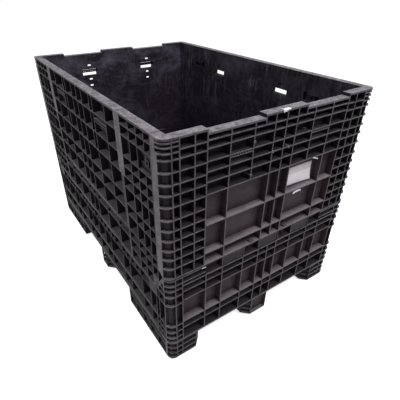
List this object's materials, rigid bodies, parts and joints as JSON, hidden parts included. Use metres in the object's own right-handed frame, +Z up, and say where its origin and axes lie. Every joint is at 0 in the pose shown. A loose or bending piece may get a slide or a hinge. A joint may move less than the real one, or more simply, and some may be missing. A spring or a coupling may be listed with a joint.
{
  "type": "collapsible bulk container",
  "caption": "Ribbed black plastic bulk container on pallet feet, with fold-down side walls, drop-down access doors, latched corners and fork openings from all four sides",
  "frame": {"origin": "on the floor, under the middle of the container", "axes": "+Z up, +Y along the two long sides, which hold the drop doors; -Y is the front end, -X the left side with the lower parting line"},
  "size_m": [1.219, 1.778, 1.248],
  "materials": {
    "base_plastic": "worn moulded black",
    "wall_plastic": "worn moulded black",
    "latch_plastic": "smooth black",
    "steel_rod": "dull zinc"
  },
  "bodies": {
    "base": {"base_front_end": "base_plastic", "base_back_end": "base_plastic", "base_left_side": "base_plastic", "base_right_side": "base_plastic", "base_corner_columns": "base_plastic", "base_deck": "base_plastic", "corner_feet": "base_plastic", "end_feet": "base_plastic", "side_feet": "base_plastic", "centre_foot": "base_plastic", "front_wall_hinge_rod": "steel_rod", "back_wall_hinge_rod": "steel_rod", "left_wall_hinge_rod": "steel_rod", "right_wall_hinge_rod": "steel_rod"},
    "front_wall": {"front_end_wall": "wall_plastic", "front_wall_corner_posts": "wall_plastic", "front_wall_rod_clips": "latch_plastic"},
    "back_wall": {"back_end_wall": "wall_plastic", "back_wall_corner_posts": "wall_plastic", "back_wall_rod_clips": "latch_plastic"},
    "left_wall": {"left_wall_front_post": "wall_plastic", "left_wall_back_post": "wall_plastic", "left_wall_sill": "wall_plastic", "left_door_hinge_rod": "steel_rod"},
    "left_door": {"left_access_door": "wall_plastic"},
    "left_front_corner_latch_bolt": {"left_front_corner_latch": "latch_plastic"},
    "left_front_door_latch_bolt": {"left_front_door_latch": "latch_plastic"},
    "left_back_corner_latch_bolt": {"left_back_corner_latch": "latch_plastic"},
    "left_back_door_latch_bolt": {"left_back_door_latch": "latch_plastic"},
    "right_wall": {"right_wall_front_post": "wall_plastic", "right_wall_back_post": "wall_plastic", "right_wall_sill": "wall_plastic", "right_door_hinge_rod": "steel_rod"},
    "right_door": {"right_access_door": "wall_plastic"},
    "right_front_corner_latch_bolt": {"right_front_corner_latch": "latch_plastic"},
    "right_front_door_latch_bolt": {"right_front_door_latch": "latch_plastic"},
    "right_back_corner_latch_bolt": {"right_back_corner_latch": "latch_plastic"},
    "right_back_door_latch_bolt": {"right_back_door_latch": "latch_plastic"}
  },
  "joints": [
    {"name": "left_wall_fold", "type": "hinge", "parent": "base", "child": "left_wall", "pos_m": [-0.5745, 0, 0.422], "axis": [0, 1, 0], "range_deg": [0, 90]},
    {"name": "right_wall_fold", "type": "hinge", "parent": "base", "child": "right_wall", "pos_m": [0.5745, 0, 0.469], "axis": [0, -1, 0], "range_deg": [0, 90]},
    {"name": "front_wall_lean", "type": "hinge", "parent": "base", "child": "front_wall", "pos_m": [0, -0.854, 0.548], "axis": [-1, 0, 0], "range_deg": [-2.5, 0]},
    {"name": "back_wall_lean", "type": "hinge", "parent": "base", "child": "back_wall", "pos_m": [0, 0.854, 0.548], "axis": [1, 0, 0], "range_deg": [-2.5, 0]},
    {"name": "left_door_drop", "type": "hinge", "parent": "left_wall", "child": "left_door", "pos_m": [-0.602, 0, 0.6455], "axis": [0, -1, 0], "range_deg": [0, 155]},
    {"name": "right_door_drop", "type": "hinge", "parent": "right_wall", "child": "right_door", "pos_m": [0.602, 0, 0.6455], "axis": [0, 1, 0], "range_deg": [0, 155]},
    {"name": "left_front_corner_latch_slide", "type": "slide", "parent": "left_wall", "child": "left_front_corner_latch_bolt", "axis": [0, 1, 0], "range_m": [-0.02, 0]},
    {"name": "left_front_door_latch_slide", "type": "slide", "parent": "left_wall", "child": "left_front_door_latch_bolt", "axis": [0, -1, 0], "range_m": [-0.02, 0]},
    {"name": "left_back_corner_latch_slide", "type": "slide", "parent": "left_wall", "child": "left_back_corner_latch_bolt", "axis": [0, -1, 0], "range_m": [-0.02, 0]},
    {"name": "left_back_door_latch_slide", "type": "slide", "parent": "left_wall", "child": "left_back_door_latch_bolt", "axis": [0, 1, 0], "range_m": [-0.02, 0]},
    {"name": "right_front_corner_latch_slide", "type": "slide", "parent": "right_wall", "child": "right_front_corner_latch_bolt", "axis": [0, 1, 0], "range_m": [-0.02, 0]},
    {"name": "right_front_door_latch_slide", "type": "slide", "parent": "right_wall", "child": "right_front_door_latch_bolt", "axis": [0, -1, 0], "range_m": [-0.02, 0]},
    {"name": "right_back_corner_latch_slide", "type": "slide", "parent": "right_wall", "child": "right_back_corner_latch_bolt", "axis": [0, -1, 0], "range_m": [-0.02, 0]},
    {"name": "right_back_door_latch_slide", "type": "slide", "parent": "right_wall", "child": "right_back_door_latch_bolt", "axis": [0, 1, 0], "range_m": [-0.02, 0]}
  ]
}
